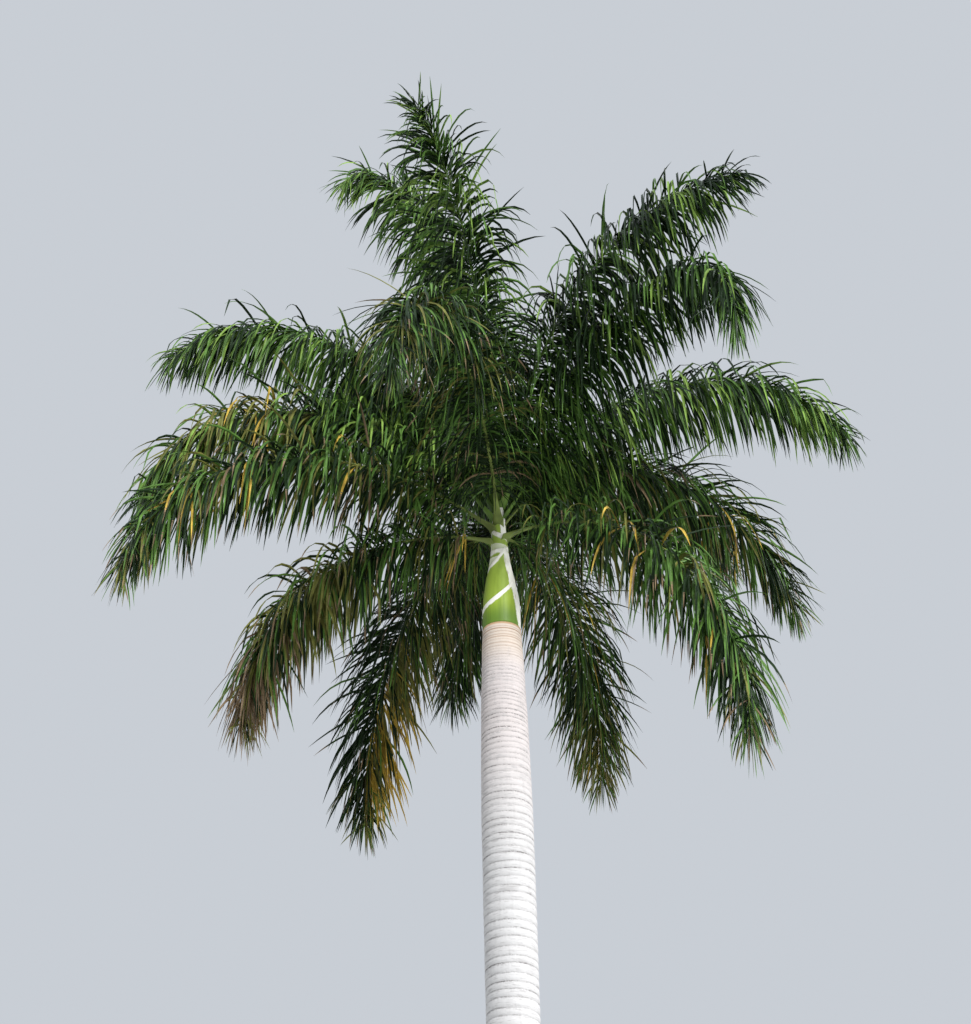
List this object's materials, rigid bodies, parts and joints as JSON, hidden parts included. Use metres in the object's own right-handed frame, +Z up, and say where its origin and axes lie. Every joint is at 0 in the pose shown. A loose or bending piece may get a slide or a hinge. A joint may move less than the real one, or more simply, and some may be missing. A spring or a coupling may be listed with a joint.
{
  "type": "royal palm",
  "caption": "Rooted royal palm with a pale ringed trunk that swells below the crown, a smooth green crownshaft, a spear leaf and arching plumed fronds.",
  "frame": {"origin": "middle of the trunk's flat cut at ground level", "axes": "+Z up the trunk, -Y towards the side that the picture shows, +X to that view's right"},
  "size_m": [7.5137, 7.5984, 17.0604],
  "materials": {
    "trunk_bark": "pale dry bark with level leaf scars",
    "crownshaft_green": "smooth waxy leaf sheath",
    "inner_sheath_green": "smooth waxy leaf sheath, brighter",
    "spear_green": "satin folded leaf",
    "young_frond_green": "satin leaf",
    "old_frond_green": "satin leaf, yellowing in places"
  },
  "bodies": {
    "root": {"trunk": "trunk_bark", "crownshaft": "crownshaft_green", "inner_sheaths": "inner_sheath_green", "spear_leaf": "spear_green", "frond_01": "young_frond_green", "frond_02": "young_frond_green", "frond_03": "young_frond_green", "frond_04": "young_frond_green", "frond_05": "young_frond_green", "frond_05_tip": "young_frond_green", "frond_06": "young_frond_green", "frond_06_tip": "young_frond_green", "frond_07": "young_frond_green", "frond_07_tip": "young_frond_green", "frond_08": "young_frond_green", "frond_09": "young_frond_green", "frond_09_tip": "young_frond_green", "frond_10": "young_frond_green", "frond_10_tip": "young_frond_green", "frond_11": "old_frond_green", "frond_11_tip": "old_frond_green", "frond_12": "old_frond_green", "frond_12_tip": "old_frond_green", "frond_13": "old_frond_green", "frond_14": "old_frond_green", "frond_15": "old_frond_green", "frond_16": "old_frond_green", "frond_16_tip": "old_frond_green", "frond_17": "old_frond_green", "frond_18": "old_frond_green"}
  },
  "joints": []
}
